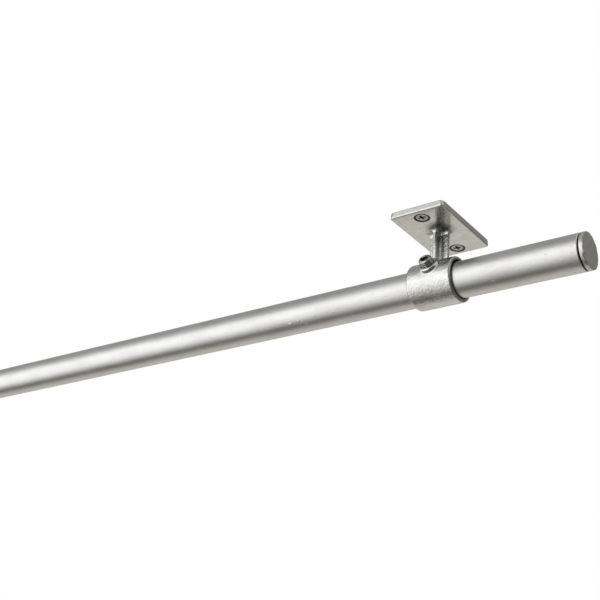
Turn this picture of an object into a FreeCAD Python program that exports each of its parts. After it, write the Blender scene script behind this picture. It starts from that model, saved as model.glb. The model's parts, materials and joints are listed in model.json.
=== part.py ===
import FreeCAD, Part
import math
import os

import Sketcher

# Curtain rod for a ceiling: a galvanised steel tube hangs in the collars of two cast brackets.
# Each bracket is one casting: a plate for the ceiling, a stem of four ribs, and a collar with a boss
# for the set screw that clamps the tube. Two countersunk wood screws hold each plate up.
# Millimetres. X runs along the tube, Z is up, and the origin lies in the ceiling's face, midway
# between the brackets.

DIMENSIONS = {
    # tube and end plugs
    "tube_radius": 13.45,
    "tube_wall": 2.3,
    "tube_overhang": 111.0,
    "tube_edge_break": 0.4,
    "bracket_spacing": 770.0,
    "plug_gap": 1.1,
    "plug_rim": 3.2,
    "plug_bevel": 0.8,
    "plug_depth": 16.0,
    "plug_wall": 2.0,
    "plug_lead": 1.0,
    # bracket plate
    "plate_width": 44.0,
    "plate_length": 71.0,
    "plate_thickness": 5.0,
    "plate_corner": 2.6,
    "plate_edge_round": 0.9,
    # bracket stem
    "collar_drop": 46.6,
    "stem_width": 15.2,
    "stem_depth": 16.4,
    "stem_rib": 2.8,
    "stem_flare": 3.4,
    # bracket collar and boss
    "collar_wall": 2.9,
    "collar_length": 35.8,
    "collar_round": 1.4,
    "bore_play": 0.75,
    "tube_rest_gap": 0.05,
    "boss_radius": 7.4,
    "boss_height": 2.0,
    "boss_bevel": 0.8,
    # set screw
    "set_rise_deg": 28.0,
    "set_radius": 5.0,
    "set_play": 0.06,
    "set_stick_out": 5.5,
    "set_pitch": 1.5,
    "set_groove": 0.55,
    "set_nose": 1.0,
    "set_socket": 5.0,
    "set_socket_depth": 4.5,
    "set_tip_gap": 0.05,
    # fixing screws
    "fixing_spacing": 52.5,
    "fixing_hole": 3.0,
    "fixing_recess": 0.3,
    "fixing_head": 5.0,
    "fixing_land": 0.3,
    "fixing_gap": 0.1,
    "fixing_shank": 1.8,
    "fixing_size": 2.5,
    "fixing_core": 1.6,
    "fixing_length": 40.0,
    "fixing_plain": 12.0,
    "fixing_pitch": 2.5,
    "fixing_tip": 5.0,
    "cross_width": 1.3,
    "cross_wall": 0.6,
    "cross_depth": 2.2,
}

# how far past a face a cut runs, and the smallest length that counts as a difference
OVERCUT = 1.0
TINY = 0.001
# one thread ring of the set screw, in parts of its pitch: where the crest starts and ends
CREST = (0.4, 0.6)
# one thread ring of a wood screw, in parts of its pitch: two along the core, the crest, the core
COIL = (0.2, 0.5, 0.7, 0.9)

doc = FreeCAD.newDocument("curtain_rod")
sheet = doc.addObject("Spreadsheet::Sheet", "dims")
for row, (alias, value) in enumerate(DIMENSIONS.items(), start=1):
    sheet.set(f"A{row}", alias)
    sheet.set(f"B{row}", str(value))
    sheet.setAlias(f"B{row}", alias)
doc.recompute()


def dim(alias):
    """A driving dimension, read from the sheet as a plain number."""
    return float(sheet.get(alias))


def new_body(label):
    """A body of its own for one physical piece."""
    body = doc.addObject("PartDesign::Body", label)
    body.Label = label
    return body


def plane_of(body, role):
    """One of the body's own origin planes, such as XY_Plane."""
    return next(part for part in body.Origin.OriginFeatures if part.Role == role)


def new_sketch(body, name, role):
    """An empty sketch on one of the body's origin planes."""
    sketch = body.newObject("Sketcher::SketchObject", name)
    sketch.AttachmentSupport = (plane_of(body, role), [""])
    sketch.MapMode = "FlatFace"
    return sketch


def value_of(expression):
    """The number that an expression in the sheet's names gives now."""
    return float(doc.getObject("dims").evalExpression(expression))


def bind_point(sketch, edge, end, point):
    """Hold one end of an edge at a point given by two expressions."""
    for kind, expression in zip(("DistanceX", "DistanceY"), point):
        index = sketch.addConstraint(Sketcher.Constraint(kind, -1, 1, edge, end, value_of(expression)))
        sketch.setExpression(f"Constraints[{index}]", expression)


def draw_outline(sketch, points):
    """A closed outline of straight edges through points that are pairs of expressions."""
    corners = [FreeCAD.Vector(value_of(x), value_of(y), 0) for x, y in points]
    count = len(corners)
    for i in range(count):
        sketch.addGeometry(Part.LineSegment(corners[i], corners[(i + 1) % count]), False)
    for i in range(count):
        sketch.addConstraint(Sketcher.Constraint("Coincident", i, 2, (i + 1) % count, 1))
    for i, point in enumerate(points):
        bind_point(sketch, i, 1, point)


def draw_circle(sketch, centre, radius):
    """A circle whose centre is a pair of expressions and whose radius is an expression."""
    middle = FreeCAD.Vector(value_of(centre[0]), value_of(centre[1]), 0)
    normal = FreeCAD.Vector(0, 0, 1)
    edge = sketch.addGeometry(Part.Circle(middle, normal, value_of(radius)), False)
    bind_point(sketch, edge, 3, centre)
    index = sketch.addConstraint(Sketcher.Constraint("Radius", edge, value_of(radius)))
    sketch.setExpression(f"Constraints[{index}]", radius)


def extrude(body, kind, sketch, length, both_ways=False, reverse=False):
    """A Pad or a Pocket of the sketch, as long as the expression says."""
    feature = body.newObject(f"PartDesign::{kind}", f"{kind}_{sketch.Name}")
    feature.Profile = sketch
    feature.Length = value_of(length)
    feature.setExpression("Length", length)
    feature.Midplane = both_ways
    feature.Reversed = reverse
    doc.recompute()
    return feature


def dress(body, kind, base, edges, size):
    """A Fillet or a Chamfer on the named edges of the feature before it."""
    feature = body.newObject(f"PartDesign::{kind}", f"{kind}_{base.Name}")
    feature.Base = (base, edges)
    name = "Radius" if kind == "Fillet" else "Size"
    setattr(feature, name, value_of(size))
    feature.setExpression(name, size)
    doc.recompute()
    return feature


def edges_where(feature, test):
    """The names of the feature's edges that pass a test on (edge, centre of its box)."""
    edges = enumerate(feature.Shape.Edges, start=1)
    return [f"Edge{i}" for i, edge in edges if test(edge, edge.BoundBox.Center)]


def near(a, b):
    """Two lengths that are as good as the same."""
    return abs(a - b) < TINY


def revolve(body, sketch, axis_role):
    """A full turn of the sketch about one of the body's own axes."""
    feature = body.newObject("PartDesign::Revolution", f"Revolution_{sketch.Name}")
    feature.Profile = sketch
    feature.ReferenceAxis = (plane_of(body, axis_role), [""])
    feature.Angle = 360.0
    doc.recompute()
    return feature


BORE = "(dims.tube_radius + dims.bore_play)"
COLLAR = "(dims.tube_radius + dims.bore_play + dims.collar_wall)"
COLLAR_Z = "(-dims.collar_drop)"
# the tube lies on the bottom of its oversize bore
TUBE_DROP = "(dims.bore_play - dims.tube_rest_gap)"
TUBE_Z = f"(-dims.collar_drop - {TUBE_DROP})"
# distances along the set screw's axis, out from the collar's centre
BOSS_END = f"({COLLAR} + dims.boss_height)"
SET_TIP = f"(dims.tube_radius - {TUBE_DROP} * sin(dims.set_rise_deg) + dims.set_tip_gap)"
SET_LENGTH = f"({BOSS_END} + dims.set_stick_out - {SET_TIP})"
TUBE_HALF = "(dims.bracket_spacing / 2 + dims.tube_overhang)"
# the countersink is the head's cone carried down to the plate's face, and a gap round it
SINK = "(dims.fixing_head + dims.fixing_land + dims.fixing_recess + dims.fixing_gap)"


def place(body, x="0", y="0", z="0"):
    """Put the body's own origin at three expressions."""
    for axis, expression in zip("xyz", (x, y, z)):
        body.setExpression(f"Placement.Base.{axis}", expression)


def make_tube():
    """The rod: a plain round tube, its outer edges just broken."""
    body = new_body("tube")
    ring = new_sketch(body, "tube_ring", "YZ_Plane")
    draw_circle(ring, ("0", "0"), "dims.tube_radius")
    draw_circle(ring, ("0", "0"), "dims.tube_radius - dims.tube_wall")
    wall = extrude(body, "Pad", ring, f"2 * {TUBE_HALF}", both_ways=True)
    rim = edges_where(wall, lambda e, c: near(e.Length, 2 * math.pi * dim("tube_radius")))
    dress(body, "Chamfer", wall, rim, "dims.tube_edge_break")
    place(body, z=TUBE_Z)
    return body


def make_plug(label, side):
    """An end plug: a bevelled rim as wide as the tube, on a hollow spigot that is driven into it."""
    body = new_body(label)
    spigot = "(dims.tube_radius - dims.tube_wall)"
    profile = new_sketch(body, f"{label}_profile", "XZ_Plane")
    draw_outline(profile, [
        ("0", "0"),
        ("dims.plug_rim", "0"),
        ("dims.plug_rim", "dims.tube_radius - dims.plug_bevel"),
        ("dims.plug_rim - dims.plug_bevel", "dims.tube_radius"),
        ("0", "dims.tube_radius"),
        ("0", spigot),
        ("-dims.plug_depth + dims.plug_lead", spigot),
        ("-dims.plug_depth", f"{spigot} - dims.plug_lead / 2"),
        ("-dims.plug_depth", f"{spigot} - dims.plug_wall"),
        ("0", f"{spigot} - dims.plug_wall"),
    ])
    revolve(body, profile, "X_Axis")
    place(body, x=f"{side} * ({TUBE_HALF} + dims.plug_gap)", z=TUBE_Z)
    body.Placement.Rotation = FreeCAD.Rotation(FreeCAD.Vector(0, 0, 1), 0 if side > 0 else 180)
    return body


def add_plate(body, label):
    """The plate that lies on the ceiling, with rounded corners and soft edges."""
    outline = new_sketch(body, f"{label}_plate", "XY_Plane")
    x, y = "dims.plate_width / 2", "dims.plate_length / 2"
    draw_outline(outline, [(f"-{x}", f"-{y}"), (x, f"-{y}"), (x, y), (f"-{x}", y)])
    plate = extrude(body, "Pad", outline, "dims.plate_thickness", reverse=True)
    upright = edges_where(plate, lambda e, c: near(c.z, -dim("plate_thickness") / 2))
    corners = dress(body, "Fillet", plate, upright, "dims.plate_corner")
    lower = edges_where(corners, lambda e, c: near(c.z, -dim("plate_thickness")))
    return dress(body, "Fillet", corners, lower, "dims.plate_edge_round")


def add_collar(body, label):
    """The collar, still solid, with its two end edges rounded."""
    disc = new_sketch(body, f"{label}_collar", "YZ_Plane")
    draw_circle(disc, ("0", COLLAR_Z), COLLAR)
    collar = extrude(body, "Pad", disc, "dims.collar_length", both_ways=True)
    ends = edges_where(collar, lambda e, c: near(abs(c.x), dim("collar_length") / 2)
                       and near(e.Length, 2 * math.pi * value_of(COLLAR)))
    return dress(body, "Fillet", collar, ends, "dims.collar_round")


def add_stem(body, label):
    """Four ribs in a cross, from the plate down into the collar, flared where they leave the plate."""
    spans = {"across": ("dims.stem_rib / 2", "dims.stem_depth / 2"),
             "along": ("dims.stem_width / 2", "dims.stem_rib / 2")}
    for name, (x, y) in spans.items():
        section = new_sketch(body, f"{label}_rib_{name}", "XY_Plane")
        draw_outline(section, [(f"-{x}", f"-{y}"), (x, f"-{y}"), (x, y), (f"-{x}", y)])
        stem = extrude(body, "Pad", section, "dims.collar_drop", reverse=True)
    half_x, half_y = dim("stem_width") / 2 + TINY, dim("stem_depth") / 2 + TINY
    foot = edges_where(stem, lambda e, c: near(c.z, -dim("plate_thickness"))
                       and near(e.BoundBox.ZLength, 0)
                       and abs(c.x) + e.BoundBox.XLength / 2 <= half_x
                       and abs(c.y) + e.BoundBox.YLength / 2 <= half_y)
    return dress(body, "Fillet", stem, foot, "dims.stem_flare")


def tilt(sketch):
    """Turn a sketch so that it faces out along the set screw's axis, from the collar's centre."""
    sketch.AttachmentOffset = FreeCAD.Placement(
        FreeCAD.Vector(0, 0, -dim("collar_drop")),
        FreeCAD.Rotation(FreeCAD.Vector(1, 0, 0), 90 - dim("set_rise_deg")))
    sketch.setExpression("AttachmentOffset.Base.z", COLLAR_Z)
    sketch.setExpression("AttachmentOffset.Rotation.Angle", "90 - dims.set_rise_deg")


def add_boss(body, label):
    """The boss that the set screw turns in, with a bevelled mouth edge."""
    disc = new_sketch(body, f"{label}_boss", "XY_Plane")
    tilt(disc)
    draw_circle(disc, ("0", "0"), "dims.boss_radius")
    boss = extrude(body, "Pad", disc, BOSS_END)
    mouth = edges_where(boss, lambda e, c: near(e.Length, 2 * math.pi * dim("boss_radius")))
    return dress(body, "Chamfer", boss, mouth, "dims.boss_bevel")


def cut_bores(body, label):
    """The tube's bore through the collar, and the set screw's bore from there out of the boss."""
    bore = new_sketch(body, f"{label}_bore", "YZ_Plane")
    draw_circle(bore, ("0", COLLAR_Z), BORE)
    extrude(body, "Pocket", bore, f"dims.collar_length + 2 * {OVERCUT}", both_ways=True)
    tapped = new_sketch(body, f"{label}_tapped", "XY_Plane")
    tilt(tapped)
    draw_circle(tapped, ("0", "0"), "dims.set_radius + dims.set_play")
    extrude(body, "Pocket", tapped, f"{BOSS_END} + {OVERCUT}", reverse=True)


def cut_fixing_holes(body, label):
    """Two holes through the plate, countersunk from below."""
    holes = new_sketch(body, f"{label}_holes", "XY_Plane")
    for side in ("-", ""):
        draw_circle(holes, ("0", f"{side}dims.fixing_spacing / 2"), "dims.fixing_hole")
    drilled = extrude(body, "Pocket", holes, f"dims.plate_thickness + {OVERCUT}")
    rims = edges_where(drilled, lambda e, c: near(c.z, -dim("plate_thickness"))
                       and near(e.Length, 2 * math.pi * dim("fixing_hole")))
    dress(body, "Chamfer", drilled, rims, f"{SINK} - dims.fixing_hole")


def make_bracket(label, side):
    """One ceiling bracket, a single iron casting."""
    body = new_body(label)
    add_plate(body, label)
    add_collar(body, label)
    add_stem(body, label)
    add_boss(body, label)
    cut_bores(body, label)
    cut_fixing_holes(body, label)
    place(body, x=f"{side} * dims.bracket_spacing / 2")
    return body


def make_set_screw(label, side):
    """A headless screw with a hexagon socket, its thread drawn as rings, its flat tip on the tube."""
    body = new_body(label)
    profile = new_sketch(body, f"{label}_profile", "XZ_Plane")
    root = "dims.set_radius - dims.set_groove"
    points = [("0", "0"), (f"{root} - dims.set_nose / 2", "0"), (root, "dims.set_nose / 2")]
    rings = int((value_of(SET_LENGTH) - dim("set_nose")) / dim("set_pitch"))
    for ring in range(rings):
        start = f"dims.set_nose / 2 + {ring} * dims.set_pitch"
        points += [("dims.set_radius", f"{start} + {part} * dims.set_pitch") for part in CREST]
        points.append((root, f"{start} + dims.set_pitch"))
    points += [(root, SET_LENGTH + " - dims.set_nose / 4"),
               (f"{root} - dims.set_nose / 4", SET_LENGTH), ("0", SET_LENGTH)]
    draw_outline(profile, points)
    revolve(body, profile, "Z_Axis")
    socket = new_sketch(body, f"{label}_socket", "XY_Plane")
    socket.setExpression("AttachmentOffset.Base.z", SET_LENGTH)
    corner = "dims.set_socket / 2 / cos(30)"
    draw_outline(socket, [(f"{corner} * cos({60 * i})", f"{corner} * sin({60 * i})") for i in range(6)])
    extrude(body, "Pocket", socket, "dims.set_socket_depth")
    body.Placement.Rotation = FreeCAD.Rotation(FreeCAD.Vector(1, 0, 0), 90 - dim("set_rise_deg"))
    body.setExpression("Placement.Rotation.Angle", "90 - dims.set_rise_deg")
    place(body, x=f"{side} * dims.bracket_spacing / 2",
          y=f"-{SET_TIP} * cos(dims.set_rise_deg)",
          z=f"{COLLAR_Z} + {SET_TIP} * sin(dims.set_rise_deg)")
    return body


def make_fixing_screw(label, side, end):
    """A countersunk wood screw with a cross recess, its thread drawn as rings up to a plain point."""
    body = new_body(label)
    profile = new_sketch(body, f"{label}_profile", "XZ_Plane")
    cone_top = "dims.fixing_land + dims.fixing_head - dims.fixing_shank"
    plain_top = f"{cone_top} + dims.fixing_plain"
    tip_start = "dims.fixing_length - dims.fixing_tip"
    points = [("0", "0"), ("dims.fixing_head", "0"), ("dims.fixing_head", "dims.fixing_land"),
              ("dims.fixing_shank", cone_top), ("dims.fixing_shank", plain_top)]
    threaded = value_of(tip_start) - value_of(plain_top)
    core = "dims.fixing_core"
    radii = (core, core, "dims.fixing_size", core)
    for ring in range(int(threaded / dim("fixing_pitch"))):
        start = f"{plain_top} + {ring} * dims.fixing_pitch"
        points += [(r, f"{start} + {part} * dims.fixing_pitch") for r, part in zip(radii, COIL)]
    points += [(core, tip_start), ("0", "dims.fixing_length")]
    draw_outline(profile, points)
    revolve(body, profile, "Z_Axis")
    cross = new_sketch(body, f"{label}_cross", "XY_Plane")
    inner = "dims.cross_width / 2"
    cone_left = "(dims.fixing_head + dims.fixing_land - dims.cross_depth - dims.cross_wall)"
    outer = f"sqrt({cone_left} * {cone_left} - {inner} * {inner})"
    arm = [(outer, f"-{inner}"), (outer, inner), (inner, inner)]
    turns = [lambda x, y: (x, y), lambda x, y: (f"-({y})", x),
             lambda x, y: (f"-({x})", f"-({y})"), lambda x, y: (y, f"-({x})")]
    draw_outline(cross, [turn(x, y) for turn in turns for x, y in arm])
    extrude(body, "Pocket", cross, "dims.cross_depth", reverse=True)
    place(body, x=f"{side} * dims.bracket_spacing / 2", y=f"{end} * dims.fixing_spacing / 2",
          z="-dims.plate_thickness + dims.fixing_recess")
    return body


SIDES = {"left": -1, "right": 1}
ENDS = {"front": -1, "rear": 1}

pieces = [make_tube()]
for side_name, side in SIDES.items():
    pieces.append(make_plug(f"end_plug_{side_name}", side))
    pieces.append(make_bracket(f"bracket_{side_name}", side))
    pieces.append(make_set_screw(f"set_screw_{side_name}", side))
    for end_name, end in ENDS.items():
        pieces.append(make_fixing_screw(f"fixing_screw_{side_name}_{end_name}", side, end))
doc.recompute()

for thing in doc.Objects:
    if "Invalid" in thing.State or "Error" in thing.State:
        raise RuntimeError(f"{thing.Label} could not be worked out: {thing.State}")
for piece in pieces:
    shape = piece.Shape
    if shape.isNull() or not shape.isValid() or len(shape.Solids) != 1:
        raise RuntimeError(f"{piece.Label} isn't one valid solid")

os.makedirs("parts", exist_ok=True)
for piece in pieces:
    piece.Shape.exportStep(f"parts/{piece.Label}.step")
    box = piece.Shape.BoundBox
    print(f"{piece.Label}: {piece.Shape.Volume / 1000:.2f} cm3,"
          f" X {box.XMin:.2f} to {box.XMax:.2f}, Y {box.YMin:.2f} to {box.YMax:.2f},"
          f" Z {box.ZMin:.2f} to {box.ZMax:.2f}")
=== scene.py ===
# %% [markdown]
# # A curtain rod under a ceiling
#
# A galvanised tube runs through the collars of two cast brackets. Each bracket is held to the
# ceiling by two countersunk wood screws, and a headless set screw in a boss clamps the tube.
# Flat plugs close the tube's ends.
#
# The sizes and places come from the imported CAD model, which is the frame that every piece here is
# built on. Loading it first means that nothing has to be fitted by eye.

# %% Load the frame
import json
from math import ceil, cos, exp, pi, radians, sin, sqrt

import bmesh
import bpy
import numpy as np
from mathutils import Matrix, Quaternion, Vector, noise


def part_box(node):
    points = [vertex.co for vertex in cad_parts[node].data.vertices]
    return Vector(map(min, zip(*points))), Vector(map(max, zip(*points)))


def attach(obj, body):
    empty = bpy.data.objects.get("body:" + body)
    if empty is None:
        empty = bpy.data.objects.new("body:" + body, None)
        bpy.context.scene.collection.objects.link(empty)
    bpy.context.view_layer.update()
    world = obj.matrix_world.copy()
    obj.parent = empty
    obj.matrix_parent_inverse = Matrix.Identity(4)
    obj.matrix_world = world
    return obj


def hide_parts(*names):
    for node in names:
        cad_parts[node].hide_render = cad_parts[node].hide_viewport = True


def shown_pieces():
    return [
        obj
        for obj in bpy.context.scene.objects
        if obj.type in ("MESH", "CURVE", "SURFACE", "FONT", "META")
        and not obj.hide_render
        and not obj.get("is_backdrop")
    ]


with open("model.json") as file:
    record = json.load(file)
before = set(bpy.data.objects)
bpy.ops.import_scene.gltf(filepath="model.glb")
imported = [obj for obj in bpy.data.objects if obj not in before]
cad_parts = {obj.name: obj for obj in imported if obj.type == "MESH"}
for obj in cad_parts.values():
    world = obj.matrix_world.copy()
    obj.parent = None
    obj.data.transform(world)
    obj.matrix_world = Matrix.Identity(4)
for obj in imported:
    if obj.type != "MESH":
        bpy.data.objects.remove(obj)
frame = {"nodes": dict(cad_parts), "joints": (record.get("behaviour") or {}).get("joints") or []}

MM = 0.001
scene = bpy.context.scene
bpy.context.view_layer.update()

# %% [markdown]
# ## Where things are
#
# The tube's axis is the middle of its box, and its radius is half of the box's depth. The joint of
# a set screw gives the direction that it is driven along. Reading these from the frame keeps this
# script right when the CAD model changes.

# %% Read the main sizes off the frame
tube_low, tube_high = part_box("tube")
rod_radius = tube_high.y
rod_axis = Vector((0, 0, (tube_low.z + tube_high.z) / 2))
SIDES = {"left": -1, "right": 1}
screw_axis = Vector(frame["joints"][1]["axis"])
print("rod radius", round(rod_radius / MM, 2), "mm, axis at z", round(rod_axis.z / MM, 2), "mm")


def middle(node):
    """The centre of a CAD node's box."""
    low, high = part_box(node)
    return (low + high) / 2


def extent(node):
    """The size of a CAD node's box along the three axes."""
    low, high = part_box(node)
    return high - low


# %% [markdown]
# ## The camera
#
# The rod is looked at from the right, from well below the ceiling, as by someone who stands in the
# room. The camera could be aimed with a constraint, but a place and three angles say the same and
# leave nothing to be solved. A slight roll lets the rod fall to the left.

# %% Set up the camera
AZIMUTH = radians(38.244)
ELEVATION = radians(-24.756)
ROLL = radians(4.963)
CAMERA_OFFSET = Vector((0.3641, -0.62164, -0.35057))

lens = bpy.data.cameras.new("camera")
lens.lens = 65.99
lens.sensor_width = 36
lens.clip_start = 0.01
camera = bpy.data.objects.new("camera", lens)
scene.collection.objects.link(camera)
back = Vector((sin(AZIMUTH) * cos(ELEVATION), -cos(AZIMUTH) * cos(ELEVATION), sin(ELEVATION)))
camera.rotation_mode = "QUATERNION"
camera.rotation_quaternion = back.to_track_quat("Z", "Y") @ Quaternion((0, 0, 1), ROLL)
camera.location = Vector((middle("bracket_right").x, 0, rod_axis.z)) + CAMERA_OFFSET
scene.camera = camera
print("camera at", [round(v, 3) for v in camera.location])

# %% [markdown]
# ## Writing shader maths as plain Python
#
# A node tree is long to write by hand. The small class below wraps one output socket, so that
# `1 - mask * 0.5` adds the Math nodes by itself. Every other node comes from `add`, which sets the
# node's settings first and then its inputs, because some settings change which inputs exist.

# %% A socket that can be calculated with
class Wire:
    """An output socket in a node tree, with arithmetic that adds Math nodes."""

    def __init__(self, tree, socket=None):
        self.tree = tree
        self.socket = socket

    def add(self, kind, settings=None, inputs=None, output=0):
        """Add any node, and return a wire on one of its outputs."""
        node = self.tree.nodes.new(kind)
        for name, value in (settings or {}).items():
            if name == "stops":
                fill_ramp(node.color_ramp, value)
            elif name == "interpolation" and hasattr(node, "color_ramp"):
                node.color_ramp.interpolation = value
            else:
                setattr(node, name, value)
        for name, value in (inputs or {}).items():
            self.feed(node.inputs[name], value)
        return Wire(self.tree, node.outputs[output] if node.outputs else None)

    def feed(self, target, value):
        """Link a wire to an input, or set the input's own value."""
        if isinstance(value, Wire):
            self.tree.links.new(value.socket, target)
        else:
            target.default_value = value

    def math(self, operation, *values):
        """A Math node on numbers or wires."""
        return self.add("ShaderNodeMath", {"operation": operation}, dict(enumerate(values)))

    def __add__(self, other):
        return self.math("ADD", self, other)

    def __sub__(self, other):
        return self.math("SUBTRACT", self, other)

    def __rsub__(self, other):
        return self.math("SUBTRACT", other, self)

    def __mul__(self, other):
        return self.math("MULTIPLY", self, other)

    def __truediv__(self, other):
        return self.math("DIVIDE", self, other)

    def __pow__(self, other):
        return self.math("POWER", self, other)

    __radd__ = __add__
    __rmul__ = __mul__


def fill_ramp(ramp, stops):
    """Give a colour ramp its stops, each a place and a colour or a grey."""
    while len(ramp.elements) < len(stops):
        ramp.elements.new(1)
    for element, (place, colour) in zip(ramp.elements, stops):
        element.position = place
        element.color = (*([colour] * 3 if isinstance(colour, (int, float)) else colour), 1)


# %% [markdown]
# ## The studio
#
# Bare metal shows the room around it more than any colour of its own, so the room decides how the
# rod looks. Lamps could be placed one by one, but here everything that matters is how bright the
# room is at each angle around the rod: a long soft box in front and a little above, a dark floor
# gap straight below, a paler floor behind, and a grey wall up behind. A ramp around the rod's axis
# paints exactly that. The room has three such ramps along the rod: the far left, which is bright
# down to the floor, the left, and the right, which is darker with a light overhead. They fade into
# each other. To the eye of the camera the backdrop is plain white.

# %% Paint the room around the rod
# each stop is an angle about the rod, from 0 level in front, up and over the back, and a colour
def left_of_room(below, low, level, above):
    """The left of the room, given how bright it is below, low, level with and above the rod."""
    return [
        (-180, (0.62, 0.60, 0.555)), (-140, (0.70, 0.685, 0.64)), (-116, (0.46, 0.445, 0.41)),
        (-96, (0.13, 0.125, 0.11)), (-82, (0.15, 0.143, 0.13)),
        (-62, [below * c for c in (1, 0.98, 0.93)]), (-36, [low * c for c in (1, 0.99, 0.98)]),
        (-4, [level * c for c in (1, 1, 1.013)]), (22, [above * c for c in (1, 1, 1.013)]),
        (44, (0.56, 0.56, 0.545)), (70, (0.31, 0.312, 0.295)), (110, (0.38, 0.38, 0.36)),
        (150, (0.32, 0.322, 0.305)), (180, (0.54, 0.53, 0.495))]


ROOM_FAR_LEFT = left_of_room(0.74, 1.42, 1.40, 1.40)
ROOM_LEFT = left_of_room(0.34, 0.80, 1.46, 1.54)
ROOM_RIGHT = [
    (-180, (0.22, 0.21, 0.19)),
    (-130, (0.24, 0.23, 0.21)),
    (-90, (0.06, 0.058, 0.05)),
    (-40, (0.10, 0.098, 0.09)),
    (0, (0.20, 0.20, 0.19)),
    (50, (0.40, 0.40, 0.39)),
    (90, (1.0, 1.0, 1.0)),
    (120, (0.4, 0.4, 0.39)),
    (150, (0.20, 0.195, 0.178)),
    (180, (0.20, 0.195, 0.18)),
]
# a ramp holds nothing brighter than 1, so it stores shares of the brightest value
BRIGHTEST = 1.8
# from which share of rightward direction to which one part of the room changes into the next
CHANGES = [(-0.75, -0.35), (-0.15, 0.35)]

world = bpy.data.worlds.new("studio")
world.use_nodes = True
world.node_tree.nodes.clear()
room = Wire(world.node_tree)
direction = room.add("ShaderNodeTexCoord", output="Generated")
xyz = {k: room.add("ShaderNodeSeparateXYZ", inputs={"Vector": direction}, output=k) for k in "XYZ"}
turn = room.math("ARCTAN2", xyz["Z"], xyz["Y"] * -1)
place = turn / (2 * pi) + 0.5


def painted(stops):
    """One part of the room: its brightness by angle."""
    shares = [((angle + 180) / 360, [c / BRIGHTEST for c in colour]) for angle, colour in stops]
    return room.add("ShaderNodeValToRGB", {"stops": shares, "interpolation": "B_SPLINE"}, {
        "Fac": place})


share = painted(ROOM_FAR_LEFT)
for stops, (start, end) in zip((ROOM_LEFT, ROOM_RIGHT), CHANGES):
    over = room.add("ShaderNodeMapRange", {"interpolation_type": "SMOOTHSTEP"}, {
        "Value": xyz["X"], "From Min": start, "From Max": end}, output="Result")
    share = room.add("ShaderNodeMix", {"data_type": "RGBA"}, {
        0: over, 6: share, 7: painted(stops)}, output=2)
glow = room.add("ShaderNodeVectorMath", {"operation": "SCALE"}, {0: share, "Scale": BRIGHTEST})
seen = room.add("ShaderNodeLightPath", output="Is Camera Ray")
sky = room.add("ShaderNodeMix", {"data_type": "RGBA"}, {0: seen, 6: glow, 7: (1, 1, 1, 1)}, output=2)
backdrop = room.add("ShaderNodeBackground", inputs={"Color": sky, "Strength": 1.0})
room.add("ShaderNodeOutputWorld", inputs={"Surface": backdrop})
scene.world = world
scene.view_settings.view_transform = "Standard"

# %% [markdown]
# ## The floor and the ceiling
#
# The floor lies a room's height below the rod, so that the rod hangs in the air as it does in a
# room. Metal would mirror it and lose the room that was painted above, so it is kept out of
# reflections. The ceiling is a white patch over each bracket that hides the wood screws' shanks
# from below, as a real ceiling does. From above it is clear, so that the plates and screws can be
# looked at from there.

# %% Lay the floor and hang the ceiling
FLOOR_DEPTH = 2.4
FLOOR_HALF = 12.0
CEILING_HALF = 0.25
CEILING_GAP = 0.0002


def sheet_at(name, centre, half):
    """A flat square sheet, facing up."""
    mesh = bpy.data.meshes.new(name)
    corners = [(-half, -half, 0), (half, -half, 0), (half, half, 0), (-half, half, 0)]
    mesh.from_pydata([Vector(c) + centre for c in corners], [], [(0, 1, 2, 3)])
    sheet = bpy.data.objects.new(name, mesh)
    scene.collection.objects.link(sheet)
    sheet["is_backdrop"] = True
    return sheet


def new_finish(name):
    """An empty material, and a wire to write its nodes with."""
    material = bpy.data.materials.new(name)
    material.use_nodes = True
    material.node_tree.nodes.clear()
    return material, Wire(material.node_tree)


floor = sheet_at("floor", Vector((0, 0, -FLOOR_DEPTH)), FLOOR_HALF)
floor.visible_glossy = False
pale, w = new_finish("pale_floor")
bsdf = w.add("ShaderNodeBsdfPrincipled", inputs={
    "Base Color": (0.9, 0.9, 0.9, 1), "Roughness": 0.9,
    "Emission Color": (1, 1, 1, 1), "Emission Strength": 0.5})
w.add("ShaderNodeOutputMaterial", inputs={"Surface": bsdf})
floor.data.materials.append(pale)

one_sided, w = new_finish("ceiling_from_below")
lit = w.add("ShaderNodeEmission", inputs={"Color": (1, 1, 1, 1), "Strength": 1.0})
clear = w.add("ShaderNodeBsdfTransparent")
below = w.add("ShaderNodeNewGeometry", output="Backfacing")
both = w.add("ShaderNodeMixShader", inputs={0: below, 1: clear, 2: lit})
w.add("ShaderNodeOutputMaterial", inputs={"Surface": both})
for side in SIDES:
    over_bracket = Vector((middle(f"bracket_{side}").x, 0, CEILING_GAP))
    patch = sheet_at(f"ceiling_{side}", over_bracket, CEILING_HALF)
    patch.data.materials.append(one_sided)
    patch.visible_shadow = False
    patch.visible_diffuse = False
    patch.visible_glossy = False

# %% [markdown]
# ## Turned pieces
#
# The tube, the plugs and all the screws are round things that a lathe or a thread roller makes. A
# cylinder primitive has neither their steps nor their threads. Here one function spins a profile of
# (distance along, radius) points around an axis, and a `shape` function may push each point in or
# out by its angle. That one hook makes the thread, the hexagon socket, the cross recess and the
# dents of a hammered rim.

# %% Spin a profile around an axis
def divided(profile, step):
    """The profile with its long runs divided into steps no longer than asked."""
    fine = [profile[0]]
    for (a0, r0), (a1, r1) in zip(profile, profile[1:]):
        count = max(1, ceil(sqrt((a1 - a0) ** 2 + (r1 - r0) ** 2) / step))
        fine += [(a0 + (a1 - a0) * i / count, r0 + (r1 - r0) * i / count) for i in range(1, count + 1)]
    return fine


def new_piece(name, mesh, sharp_angle=35):
    """An object from a mesh, shaded smooth except at its sharp edges."""
    mesh.shade_smooth()
    mesh.set_sharp_from_angle(angle=radians(sharp_angle))
    piece = bpy.data.objects.new(name, mesh)
    scene.collection.objects.link(piece)
    return piece


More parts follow.
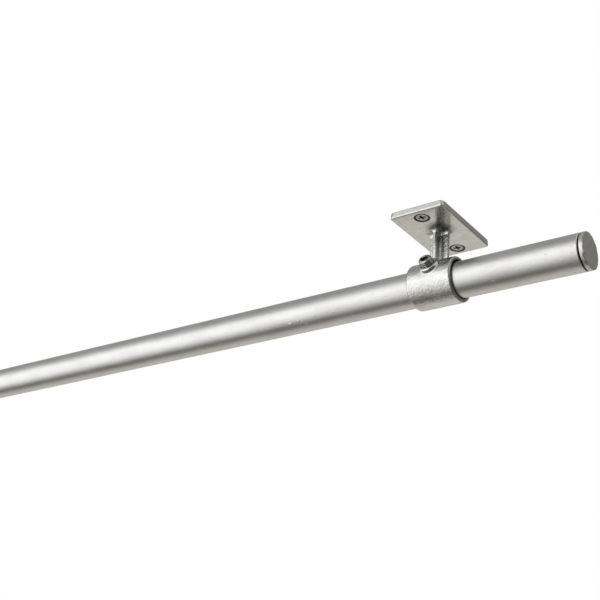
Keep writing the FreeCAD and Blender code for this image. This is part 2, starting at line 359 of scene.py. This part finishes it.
def turned(name, profile, origin, axis, sides, step, shape=None, painted_shade_at=None):
    """Spin a profile around an axis. Points of radius 0 close the piece; painted_shade_at(along, radius),
    how dark the painted shade is, is stored.
    """
    turn_to = Vector(axis).to_track_quat("Z", "Y").to_matrix()
    shell = bmesh.new()
    grime = shell.verts.layers.float.new("grime")
    rings = []
    for along, radius in divided(profile, step):
        count = sides if radius > 0 else 1
        ring = []
        for i in range(count):
            angle = 2 * pi * i / sides
            a, r = shape(along, radius, angle) if shape and radius > 0 else (along, radius)
            spot = turn_to @ Vector((r * cos(angle), r * sin(angle), a))
            ring.append(shell.verts.new(Vector(origin) + spot))
            ring[-1][grime] = painted_shade_at(a, r) if painted_shade_at else 0
        rings.append(ring)
    for near, far in zip(rings, rings[1:]):
        for i in range(sides):
            j = (i + 1) % sides
            corners = [near[i % len(near)], near[j % len(near)], far[j % len(far)], far[i % len(far)]]
            face = [v for k, v in enumerate(corners) if v not in corners[:k]]
            if len(face) > 2:
                shell.faces.new(face)
    bmesh.ops.remove_doubles(shell, verts=shell.verts, dist=0.00001 * MM)
    bmesh.ops.recalc_face_normals(shell, faces=shell.faces)
    mesh = bpy.data.meshes.new(name)
    shell.to_mesh(mesh)
    shell.free()
    print(name, len(mesh.vertices), "vertices")
    return new_piece(name, mesh)


# %% [markdown]
# ## The tube
#
# The rod is welded steel tube, dipped in zinc. It is smooth but not perfect: the zinc runs a little
# thicker in places, which makes the long highlight waver. That waver has to be in the mesh, because
# it bends the outline of the reflection over centimetres. A few hundredths of a millimetre of slow
# noise is enough.

# %% Draw the tube
TUBE_WALL = 2.3 * MM
EDGE_BREAK = 0.4 * MM
WAVER = 0.02 * MM


def zinc_waver(along, radius, angle):
    """Slow thick and thin places in the zinc, longer along the tube than around it."""
    spot = Vector((along * 18, cos(angle) * 1.3, sin(angle) * 1.3))
    return along, radius + WAVER * noise.noise(spot) + WAVER * 0.5 * noise.noise(spot * 3.1)


tube_start, tube_end = tube_low.x, tube_high.x
bore = rod_radius - TUBE_WALL
tube_profile = [
    (tube_start, bore), (tube_start, rod_radius - EDGE_BREAK), (tube_start + EDGE_BREAK, rod_radius),
    (tube_end - EDGE_BREAK, rod_radius), (tube_end, rod_radius - EDGE_BREAK), (tube_end, bore),
    (tube_start, bore)]


def tube_shade(along, radius):
    """The cut ends and the inside are dark, as no light gets there."""
    return 1 if radius < rod_radius - EDGE_BREAK * 1.2 else 0


rod = turned("rod_tube", tube_profile, rod_axis, (1, 0, 0), 128, 5 * MM, zinc_waver, tube_shade)

# %% [markdown]
# A few drops of zinc froze on the tube as it was lifted out of the bath. They could be a pattern in
# the material, but they stand up from the tube and catch the light by themselves, so each is a
# flattened ball that is sunk halfway into the tube's wall.

# %% Add the drops of zinc
# for each drop, how far along the tube and at what angle around it, then its half length and width
DROPS = [
    (259, -47, 2.0, 0.9), (267, -44, 1.3, 0.8), (-120, 30, 1.0, 0.7), (60, 150, 1.6, 0.8),
    (-210, -100, 1.3, 0.9)]
DROP_HEIGHT = 0.45

shell = bmesh.new()
shell.from_mesh(rod.data)
for along, turned_by, half_length, half_width in DROPS:
    lift = Matrix.Rotation(radians(-turned_by), 4, "X")
    on_axis = Matrix.Translation(rod_axis + Vector((along * MM, 0, 0)))
    foot = on_axis @ lift @ Matrix.Translation((0, -rod_radius, 0))
    flat = Matrix.Diagonal((half_length * MM, DROP_HEIGHT * MM, half_width * MM, 1))
    bmesh.ops.create_icosphere(shell, subdivisions=3, radius=1, matrix=foot @ flat)
for face in shell.faces:
    face.smooth = True
shell.to_mesh(rod.data)
shell.free()
print(len(DROPS), "drops of zinc")
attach(rod, "rod")
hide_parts("tube")

# %% [markdown]
# ## The end plugs
#
# A plug is a flat disc with a spigot that is driven into the tube with a hammer, so the edge of its
# face is bevelled and slightly beaten. The beaten look is a matter of light on small flats, so the
# rim gets real dents: a coarse noise that only acts near the bevel.

# %% Draw the plugs
PLUG_BEVEL = 0.8 * MM
PLUG_RIM = 3.2 * MM
SPIGOT_WALL = 2.0 * MM
SPIGOT_PLAY = 0.05 * MM
RIM_EDGE = 0.2 * MM
SPIGOT_LEAD = 1 * MM
DENT = 0.45 * MM
DENT_REACH = 1.4 * MM


def beaten(bevel_at, seed):
    """A shape that dents the rim of a plug close to its bevel."""
    def shape(along, radius, angle):
        on_rim = radius > bore + 0.5 * MM and along > 0
        near_bevel = exp(-((along - bevel_at) / DENT_REACH) ** 2) * on_rim
        spot = Vector((cos(angle) * 3.2, sin(angle) * 3.2, seed * 7 + along * 330))
        blow = min(0, noise.noise(spot)) + 0.6 * min(0, noise.noise(spot * 2.6))
        return along + DENT * near_bevel * blow, radius + DENT * 0.7 * near_bevel * blow
    return shape


for side, sign in SIDES.items():
    low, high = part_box(f"end_plug_{side}")
    length = high.x - low.x
    depth = length - PLUG_RIM
    spigot = bore - SPIGOT_PLAY
    profile = [
        (PLUG_RIM, 0), (PLUG_RIM, rod_radius - PLUG_BEVEL),
        (PLUG_RIM - PLUG_BEVEL * 0.3, rod_radius - 0.15 * MM), (PLUG_RIM - PLUG_BEVEL, rod_radius),
        (RIM_EDGE, rod_radius), (0, rod_radius - RIM_EDGE), (0, spigot),
        (-depth + SPIGOT_LEAD, spigot), (-depth, spigot - 0.5 * MM), (-depth, spigot - SPIGOT_WALL),
        (-0.5 * MM, spigot - SPIGOT_WALL), (-0.5 * MM, 0)]
    seat = Vector((high.x - PLUG_RIM if sign > 0 else low.x + PLUG_RIM, 0, rod_axis.z))

    def plug_shade(along, radius):
        """The spigot and the back of the rim are painted dark: painted shade inside the tube and in the
        gap at its end.
        """
        return 1 if along < 0.15 * MM and radius < rod_radius - 0.3 * MM else 0

    plug = turned(f"plug_{side}", profile, seat, (sign, 0, 0), 96, 0.5 * MM,
                  beaten(PLUG_RIM - PLUG_BEVEL / 2, sign), plug_shade)
    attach(plug, "rod")
    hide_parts(f"end_plug_{side}")

# %% [markdown]
# ## The castings
#
# A bracket is cast iron that was dipped in zinc: no edge is crisp, every inner corner is filled,
# and the skin is rough from the sand. The CAD body has the right sizes but sharp corners. Beveling
# its edges one by one would still leave flat faces, so the body is wrapped in one even skin instead:
# a voxel remesh, a little smoothing, and then roughness that moves the points themselves.

# %% Wrap and roughen a casting
VOXEL = 0.5 * MM
SMOOTH_ROUNDS = 3
SAND = 0.14 * MM
SWELL = 0.08 * MM
DRAFT = 0.05
BORE_PLAY = 0.7 * MM
COLLAR_LENGTH = 35.8 * MM
DRAFT_REACH = 3 * MM
MACHINED = 0.12
PLATE_CALM = 0.35
BOSS_CALM_RADIUS = 7.7 * MM
SINK_RADIUS = 6.2 * MM
COLLAR_SKIN = 4 * MM
# how dark a patch of painted shade at the stem's foot is, and where its middle lies, off to the front
# right: it stands in for the stem's dark reflection and shadow on the plate
FOOT_SHADE = 0.8
FOOT_CENTRE = Vector((4, -7, 0)) * MM


def applied(piece):
    """Replace a piece's mesh by what its modifiers make of it."""
    graph = bpy.context.evaluated_depsgraph_get()
    made = bpy.data.meshes.new_from_object(piece.evaluated_get(graph))
    piece.modifiers.clear()
    piece.data = made
    return made


def read_points(mesh, field):
    """One vector for each point of a mesh, read in one go."""
    flat = np.empty(len(mesh.vertices) * 3, np.float32)
    source = mesh.vertices if field == "co" else mesh.vertex_normals
    source.foreach_get("co" if field == "co" else "vector", flat)
    return flat.reshape(-1, 3)


def drafted(mesh, centre, half, face):
    """Lean the sides of the plate in towards the ceiling, as a pattern's sides lean to leave the sand."""
    points = read_points(mesh, "co")
    rise = np.clip(points[:, 2] - face, 0, None)
    for axis, reach in enumerate(half):
        off = points[:, axis] - centre[axis]
        near_side = np.clip(1 - (reach - abs(off)) / DRAFT_REACH, 0, 1)
        points[:, axis] -= np.sign(off) * near_side * rise * DRAFT
    mesh.vertices.foreach_set("co", points.ravel())
    mesh.update()


def roughened(mesh, calm_at, dirt_and_shade_at, seed):
    """Push the points along their normals in swells and sand grain, and note where it is dirty and where
    shade is painted.
    """
    points, normals = read_points(mesh, "co"), read_points(mesh, "normal")
    grime, coarse, push = (np.zeros(len(points), np.float32) for _ in range(3))
    for i, point in enumerate(points):
        place = Vector(point)
        spot = place / MM + Vector((seed, 0, 0))
        swell = noise.noise(spot * 0.13)
        grain = noise.noise(spot * 0.6) * 0.4 + noise.noise(spot * 1.1) * 0.6
        coarse[i] = calm_at(place)
        push[i] = coarse[i] * (SWELL * swell + SAND * grain)
        grime[i] = dirt_and_shade_at(place)
    mesh.vertices.foreach_set("co", (points + normals * push[:, None]).ravel())
    mesh.update()
    for name, values in (("grime", grime), ("coarse", coarse)):
        mesh.attributes.new(name, "FLOAT", "POINT").data.foreach_set("value", values)


def fade(value, full, none):
    """1 at or before full, 0 at or past none, and a soft slope between."""
    share = max(0, min(1, (none - value) / (none - full)))
    return share * share * (3 - 2 * share)


def plate_face_of(side):
    """How high the lower face of a bracket's plate is, where the wood screws' heads end."""
    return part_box(f"fixing_screw_{side}_front")[0].z


def bores_of(side):
    """Two measures of a place on a casting: how much roughness it bears, and how much painted shade and
    dirtiness darken it.
    """
    centre = Vector((middle(f"bracket_{side}").x, 0, rod_axis.z + BORE_PLAY))
    heads = [middle(f"fixing_screw_{side}_{end}") for end in ("front", "rear")]
    plate_face = plate_face_of(side)

    def measure(place):
        """Distances from the tube's bore, the set screw's thread and the wood screws."""
        out = place - centre
        bore_gap = sqrt(out.y ** 2 + out.z ** 2) - rod_radius - BORE_PLAY
        thread = (out - screw_axis * out.dot(screw_axis)).length if out.dot(screw_axis) > 0 else 1
        head = min(sqrt((place.x - h.x) ** 2 + (place.y - h.y) ** 2) for h in heads)
        return bore_gap, thread, head, place.z - plate_face

    def calm_at(place):
        """The bore, the boss, the upper face and the countersinks are smooth, the plate nearly so."""
        bore_gap, thread, head, above_face = measure(place)
        if bore_gap < 0.8 * MM or thread < BOSS_CALM_RADIUS or place.z > -0.2 * MM:
            return MACHINED
        if head < SINK_RADIUS and above_face > -1 * MM:
            return MACHINED
        return PLATE_CALM if above_face > -1 * MM else 1.0

    def dirt_and_shade_at(place):
        """Painted shade darkens the bore, the set screw's hole and the collar's ends; the countersinks are
        dirty as well as in painted shade; and a patch of painted shade lies at the stem's foot.

        The patch at the foot stands in for the stem's dark reflection and shadow on the plate. It is
        centred off to the front right of the stem, and it reaches the plate's upper face too, which lies
        against the ceiling.
        """
        bore_gap, thread, head, above_face = measure(place)
        # the bore, the collar's ends and the set screw's hole get painted shade; the countersinks get dirt
        # and painted shade
        to_end = COLLAR_LENGTH / 2 - abs(place.x - centre.x)
        on_end = 0.4 * fade(to_end, 0.3 * MM, 1.2 * MM) * (bore_gap < COLLAR_SKIN)
        in_bore = max(fade(bore_gap, 0.3 * MM, 1.2 * MM), on_end)
        in_sink = fade(head, 5.8 * MM, 6.3 * MM) if above_face > -1 * MM else 0
        off_x = place.x - centre.x - FOOT_CENTRE.x
        off_y = place.y - FOOT_CENTRE.y
        # a patch of painted shade on the plate around the stem's foot
        near_foot = fade(sqrt(off_x ** 2 + off_y ** 2), 4 * MM, 14 * MM)
        shade_at_foot = FOOT_SHADE * near_foot * fade(-above_face, 0.5 * MM, 2.0 * MM)
        return max(in_bore, in_sink, fade(thread, 5.15 * MM, 5.5 * MM), shade_at_foot)

    return calm_at, dirt_and_shade_at


for side, sign in SIDES.items():
    node = frame["nodes"][f"bracket_{side}"]
    casting = bpy.data.objects.new(f"casting_{side}", node.data.copy())
    scene.collection.objects.link(casting)
    wrap = casting.modifiers.new("skin", "REMESH")
    wrap.mode = "VOXEL"
    wrap.voxel_size = VOXEL
    soft = casting.modifiers.new("soft", "SMOOTH")
    soft.iterations = SMOOTH_ROUNDS
    soft.factor = 0.5
    mesh = applied(casting)
    size = extent(f"bracket_{side}")
    drafted(mesh, middle(f"bracket_{side}"), (size.x / 2, size.y / 2), plate_face_of(side))
    calm_at, dirt_and_shade_at = bores_of(side)
    roughened(mesh, calm_at, dirt_and_shade_at, 17 * sign)
    mesh.shade_smooth()
    print(casting.name, len(mesh.vertices), "vertices")
    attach(casting, "brackets")
    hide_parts(f"bracket_{side}")

# %% [markdown]
# ## The set screws
#
# A set screw has no head: it is a thread with a hexagon socket in its end. The thread is a true
# helix here, made by letting the radius rise and fall with height less a full turn's share of the
# pitch. It fades out at both ends, as a rolled thread does.

# %% Draw the set screws
PITCH = 1.5 * MM
GROOVE = 0.6 * MM
HEX = 5 * MM
HEX_DEPTH = 4.5 * MM
LEAD = 0.8 * MM
SOCKET_LEAD = 0.45 * MM


def faded(along, start, end, over):
    """1 between start and end, running down to 0 over a stretch at each end."""
    return max(0, min(1, (along - start) / over, (end - along) / over))


def crest(along, angle, pitch):
    """How high a rolled thread stands at a place, from 0 in the groove to 1 on the crest."""
    phase = (along / pitch - angle / (2 * pi)) % 1
    return max(0, min(1, 2 - abs(phase - 0.5) * 5.2))


def hexagon(across_flats, angle):
    """The distance from the middle of a hexagon to its side at an angle."""
    return across_flats / 2 / cos((angle + pi / 6) % (pi / 3) - pi / 6)


for side in SIDES:
    node = f"set_screw_{side}"
    size = extent(node)
    radius = size.x / 2
    length = (size.y - 2 * radius * abs(screw_axis.z)) / abs(screw_axis.y)
    tip = middle(node) - screw_axis * length / 2
    root = radius - GROOVE
    profile = [
        (0, 0), (0, root - 0.5 * MM), (0.5 * MM, root),
        (length - 0.4 * MM, root), (length, root - 0.45 * MM),
        (length, HEX / 2 + SOCKET_LEAD), (length - 0.25 * MM, HEX / 2),
        (length - HEX_DEPTH, HEX / 2), (length - HEX_DEPTH - 1 * MM, 0)]

    def screw_shape(along, r, angle, length=length, root=root):
        """A thread outside, a hexagon inside."""
        if r > root - 0.01 * MM:
            height = faded(along, 0.3 * MM, length - 0.3 * MM, LEAD)
            return along, r + GROOVE * height * crest(along, angle, PITCH)
        if r < HEX / 2 + 0.46 * MM and along > length - HEX_DEPTH - 0.01 * MM:
            return along, r / (HEX / 2) * hexagon(HEX, angle)
        return along, r

    def screw_shade(along, r, length=length, root=root):
        """The grooves and the socket are painted darker: painted shade in these recesses."""
        in_socket = r < HEX * 0.56 and along < length - 0.4 * MM
        in_groove = fade(r, root + 0.05 * MM, root + 0.4 * MM) * (along < length - MM)
        return 0.45 if in_socket else 0.75 * in_groove

    screw = turned(f"clamp_screw_{side}", profile, tip, screw_axis, 96, PITCH / 9,
                   screw_shape, screw_shade)
    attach(screw, node)
    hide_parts(node)

# %% [markdown]
# ## The wood screws
#
# A countersunk wood screw has a flat head with a cross recess, a cone that fits the plate's
# countersink, a plain shank, and a coarse thread that runs out into a point. The cross narrows as
# it goes down, which is what lets a driver's tip seat in it. Its outline is a formula in the angle:
# along an arm it is the arm's end, beside it the arm's side.

# %% Draw the wood screws
SHANK = 1.8 * MM
CORE = 1.6 * MM
WOOD_CREST = 2.5 * MM
WOOD_PITCH = 2.5 * MM
PLAIN = 12 * MM
POINT = 5 * MM
ARM_WIDTH = 1.7 * MM
ARM_SPAN = 5.6 * MM
RECESS = 2.2 * MM
HEAD_EDGE = 0.3 * MM


def cross(width, span, angle):
    """The distance from the middle of a cross recess to its edge at an angle."""
    off = (angle + pi / 4) % (pi / 2) - pi / 4
    return min(span / 2 / cos(off), width / 2 / max(abs(sin(off)), 0.001))


for side in SIDES:
    for end in ("front", "rear"):
        node = f"fixing_screw_{side}_{end}"
        low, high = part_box(node)
        head = (high.x - low.x) / 2
        length = high.z - low.z
        cone = HEAD_EDGE + head - SHANK
        mouth = ARM_SPAN / 2
        profile = [
            (RECESS, 0), (RECESS, mouth * 0.3), (0.05 * MM, mouth), (0, mouth + 0.15 * MM),
            (0, head - 0.25 * MM), (0.1 * MM, head), (HEAD_EDGE, head), (cone, SHANK),
            (cone + PLAIN, SHANK), (cone + PLAIN + 1 * MM, CORE), (length - POINT, CORE),
            (length, 0)]

        def wood_shape(along, r, angle, mouth=mouth, cone=cone, length=length):
            """A cross in the head, a coarse thread on the shank."""
            if r < mouth + 0.2 * MM and along < RECESS + 0.01 * MM:
                share = r / mouth
                return along, cross(ARM_WIDTH * (0.5 + 0.5 * share), ARM_SPAN * share, angle)
            if along > cone + PLAIN + 0.5 * MM:
                height = faded(along, cone + PLAIN, length - 1.2 * MM, 2.5 * MM)
                turn_share = (along / WOOD_PITCH - angle / (2 * pi)) % 1
                ridge = max(0, 1 - abs(turn_share - 0.5) * 5)
                return along, r + (WOOD_CREST - CORE) * height * ridge
            return along, r

        def wood_screw_shade(along, r, mouth=mouth, head=head):
            """The cross recess is painted dark as shade, and so are the rim of the head and the cone under
            it, where the gap round the head lies in shade.
            """
            in_cross = r < mouth * 1.1 and 0.3 * MM < along < RECESS + 0.1 * MM
            on_rim = along <= 0.15 * MM and r > head - 0.6 * MM
            return 0.9 if in_cross or on_rim or 0.15 * MM < along < 3 * MM else 0

        foot = ((low.x + high.x) / 2, (low.y + high.y) / 2, low.z)
        screw = turned(f"wood_screw_{side}_{end}", profile, foot, (0, 0, 1), 72, 0.35 * MM,
                       wood_shape, wood_screw_shade)
        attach(screw, "brackets")
        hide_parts(node)

# %% [markdown]
# ## The finishes
#
# Everything here is zinc on steel, but each piece wears it differently, so each has a material of
# its own. The patterns are worked out in three dimensions from the object's own coordinates, which
# need no unwrapping and go straight through a corner. Each pattern drives colour, roughness and a
# fine bump together, because on metal one cause shows in all three.

# %% Patterns that the finishes share
def spots(w, at, size, detail=3.0, rough=0.55):
    """Soft noise with blotches of about the given size."""
    return w.add("ShaderNodeTexNoise", {}, {
        "Vector": at, "Scale": 1 / size, "Detail": detail, "Roughness": rough}, output="Fac")


def stretched(w, at, scale):
    """Coordinates that are stretched or squeezed along each axis."""
    return w.add("ShaderNodeVectorMath", {"operation": "MULTIPLY"}, {0: at, 1: scale})


def above(w, value, low, high):
    """0 below low, 1 above high, with a soft step between."""
    return w.add("ShaderNodeMapRange", {"interpolation_type": "SMOOTHSTEP"}, {
        "Value": value, "From Min": low, "From Max": high}, output="Result")


def blended(w, share, first, second):
    """A colour between two colours."""
    return w.add("ShaderNodeMix", {"data_type": "RGBA"}, {0: share, 6: first, 7: second}, output=2)


def metal(w, clean, roughness, height, depth):
    """Bare metal with a bump of the given depth, black where the mesh marks painted shade and dirtiness.
    """
    grime = w.add("ShaderNodeAttribute", {"attribute_name": "grime"}, output="Fac")
    # the colour goes towards black where the mesh marks painted shade and dirt
    colour = blended(w, grime * 0.93, clean, (0.04, 0.038, 0.034, 1))
    roughness = roughness + grime * 0.2
    bump = w.add("ShaderNodeBump", inputs={"Height": height, "Distance": depth, "Strength": 1.0})
    surface = w.add("ShaderNodeBsdfPrincipled", inputs={
        "Base Color": colour, "Metallic": 1.0, "Roughness": roughness, "Normal": bump})
    w.add("ShaderNodeOutputMaterial", inputs={"Surface": surface})


def dress(material, *names):
    """Give a material to pieces by the start of their names."""
    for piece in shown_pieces():
        if piece.name.startswith(names):
            piece.data.materials.clear()
            piece.data.materials.append(material)


# %% [markdown]
# ### Galvanised tube
#
# Fresh zinc on a smooth tube is satin, with a faint cloudiness and a few short scratches and pits
# from handling. The clouds are long, because the tube is drawn through the zinc along its length.

# %% Galvanised tube
zinc_tube, w = new_finish("galvanised_tube")
at = w.add("ShaderNodeTexCoord", output="Object")
clouds = spots(w, stretched(w, at, (0.35, 1, 1)), 9 * MM)
grain = spots(w, at, 1.1 * MM)
scratches = above(w, spots(w, stretched(w, at, (0.12, 1, 1)), 1.0 * MM, 2.0), 0.69, 0.74)
pits = above(w, spots(w, at, 1.8 * MM, 1.0), 0.74, 0.79)
blobs = above(w, spots(w, stretched(w, at, (0.6, 1, 1)), 3.2 * MM, 1.0), 0.70, 0.78)
marks = w.math("MAXIMUM", scratches * 0.5, pits)
shade = above(w, clouds * 0.7 + grain * 0.3, 0.3, 0.7)
colour = blended(w, shade, (0.66, 0.655, 0.64, 1), (0.76, 0.76, 0.755, 1))
worn = blended(w, marks, colour, (0.40, 0.39, 0.37, 1))
metal(w, worn, 0.26 + clouds * 0.08 + grain * 0.04, grain * 0.3 + blobs * 3 - marks * 1.5, 0.03 * MM)
dress(zinc_tube, "rod_tube")

# %% [markdown]
# ### Zinc plugs
#
# The plugs are duller than the tube: rolled plate, cut out and beaten in. The face is flat and
# grey. The rim's dents are in the mesh, and catch the light there.

# %% Zinc plugs
zinc_plug, w = new_finish("zinc_plug")
at = w.add("ShaderNodeTexCoord", output="Object")
clouds = spots(w, at, 5 * MM)
grain = spots(w, at, 0.7 * MM)
streaks = spots(w, stretched(w, at, (1, 1, 0.25)), 1.2 * MM)
shade = above(w, clouds * 0.5 + streaks * 0.5, 0.35, 0.65)
colour = blended(w, shade, (0.58, 0.57, 0.54, 1), (0.74, 0.73, 0.70, 1))
metal(w, colour, 0.24 + clouds * 0.14, grain + clouds * 2 + streaks, 0.05 * MM)
dress(zinc_plug, "plug_")

# %% [markdown]
# ### Cast bracket
#
# The zinc on the casting is bright where it caught on the sand's grain, so it glitters. The bores
# and the collar's ends are darkened with painted shade, the countersinks with dirt and painted
# shade, and a patch of painted shade lies on the plate at the stem's foot. Where those are was
# stored in the mesh when it was roughened, so the darkening sits in the real hollows and at the foot.

# %% Cast bracket
cast_zinc, w = new_finish("cast_zinc")
at = w.add("ShaderNodeTexCoord", output="Object")
clouds = spots(w, at, 6 * MM)
grain = spots(w, at, 1.1 * MM, 4.0, 0.65)
shade = above(w, clouds * 0.5 + grain * 0.5, 0.35, 0.65)
colour = blended(w, shade, (0.64, 0.64, 0.61, 1), (0.76, 0.76, 0.74, 1))
coarse = w.add("ShaderNodeAttribute", {"attribute_name": "coarse"}, output="Fac")
metal(w, colour, 0.19 + clouds * 0.06, grain * coarse, 0.06 * MM)
dress(cast_zinc, "casting_")

# %% [markdown]
# ### Screws
#
# The set screws and the wood screws are plated and a little darker than the zinc dip. Speckles of
# dull plating break up the flat ends.

# %% Screws
def screw_finish(name, dark, light, roughness):
    """Plated steel, speckled with dull spots."""
    material, w = new_finish(name)
    at = w.add("ShaderNodeTexCoord", output="Object")
    clouds = spots(w, at, 2.5 * MM)
    specks = above(w, spots(w, at, 0.6 * MM, 2.0), 0.58, 0.68)
    colour = blended(w, clouds, dark, light)
    dull = blended(w, specks * 0.6, colour, (0.25, 0.24, 0.22, 1))
    metal(w, dull, roughness + specks * 0.15, clouds - specks, 0.03 * MM)
    return material


dress(screw_finish("set_screw_steel", (0.40, 0.39, 0.37, 1), (0.60, 0.59, 0.57, 1), 0.2), "clamp_screw_")
dress(screw_finish("wood_screw_steel", (0.36, 0.35, 0.33, 1), (0.60, 0.59, 0.56, 1), 0.22), "wood_screw_")
